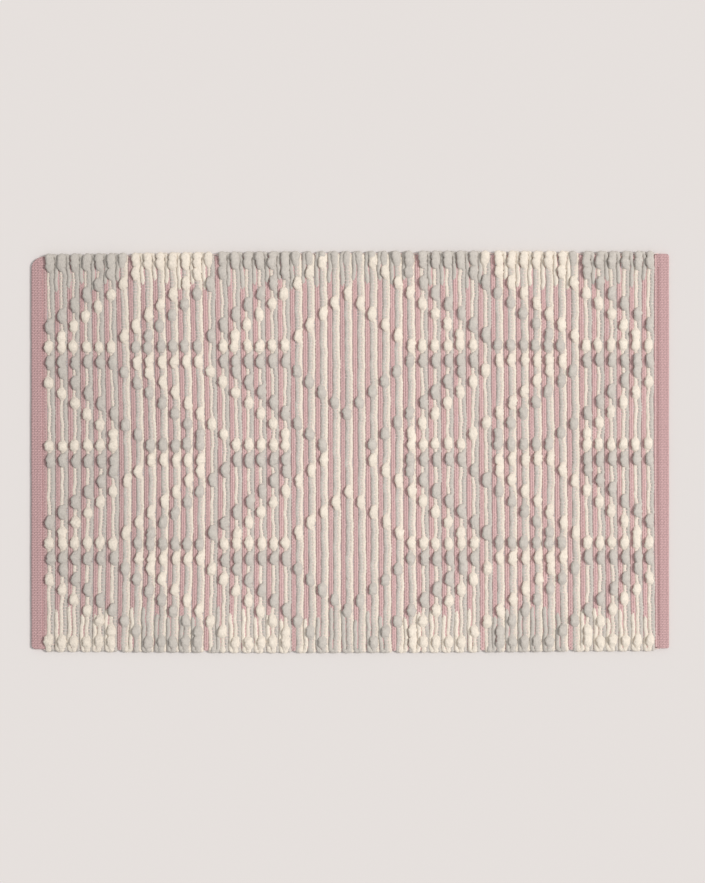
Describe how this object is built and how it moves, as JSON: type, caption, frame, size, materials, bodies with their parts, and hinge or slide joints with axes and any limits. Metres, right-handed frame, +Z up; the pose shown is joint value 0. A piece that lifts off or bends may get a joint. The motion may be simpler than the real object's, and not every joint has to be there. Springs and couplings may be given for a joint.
{
  "type": "bath mat",
  "caption": "Rectangular woven cotton bath mat with cream and grey ribs, a raised bobble pattern of zigzags and triangles, pink ground strips and folded pink hems.",
  "frame": {"origin": "on the floor, under the middle of the mat", "axes": "+X along the length of the mat, from the left hem to the right hem; +Y along the ribs, towards the back selvedge; +Z up, out of the bobble side"},
  "size_m": [0.8, 0.505, 0.0107],
  "materials": {
    "warp_cotton": "thin natural-pink cotton warp, matt",
    "pink_cotton": "dusty pink cotton, plain weave, matt",
    "cream_cotton": "soft loosely twisted cream cotton roving, matt",
    "grey_cotton": "soft loosely twisted warm grey cotton roving, matt",
    "sewing_thread": "twisted pink sewing thread"
  },
  "bodies": {
    "root": {"warp_ends": "warp_cotton", "ground_weft_1": "pink_cotton", "ground_weft_2": "pink_cotton", "ground_weft_3": "pink_cotton", "ground_weft_4": "pink_cotton", "ground_weft_5": "pink_cotton", "ground_weft_6": "pink_cotton", "ground_weft_7": "pink_cotton", "cream_weft_1": "cream_cotton", "cream_weft_2": "cream_cotton", "cream_weft_3": "cream_cotton", "cream_weft_4": "cream_cotton", "cream_weft_5": "cream_cotton", "cream_weft_6": "cream_cotton", "cream_weft_7": "cream_cotton", "grey_weft_1": "grey_cotton", "grey_weft_2": "grey_cotton", "grey_weft_3": "grey_cotton", "grey_weft_4": "grey_cotton", "grey_weft_5": "grey_cotton", "grey_weft_6": "grey_cotton", "grey_weft_7": "grey_cotton", "cream_tails_back": "cream_cotton", "cream_tails_front": "cream_cotton", "grey_tails_back": "grey_cotton", "grey_tails_front": "grey_cotton", "hem_left": "pink_cotton", "hem_right": "pink_cotton", "hem_left_needle_thread": "sewing_thread", "hem_left_bobbin_thread": "sewing_thread", "hem_right_needle_thread": "sewing_thread", "hem_right_bobbin_thread": "sewing_thread"}
  },
  "joints": []
}
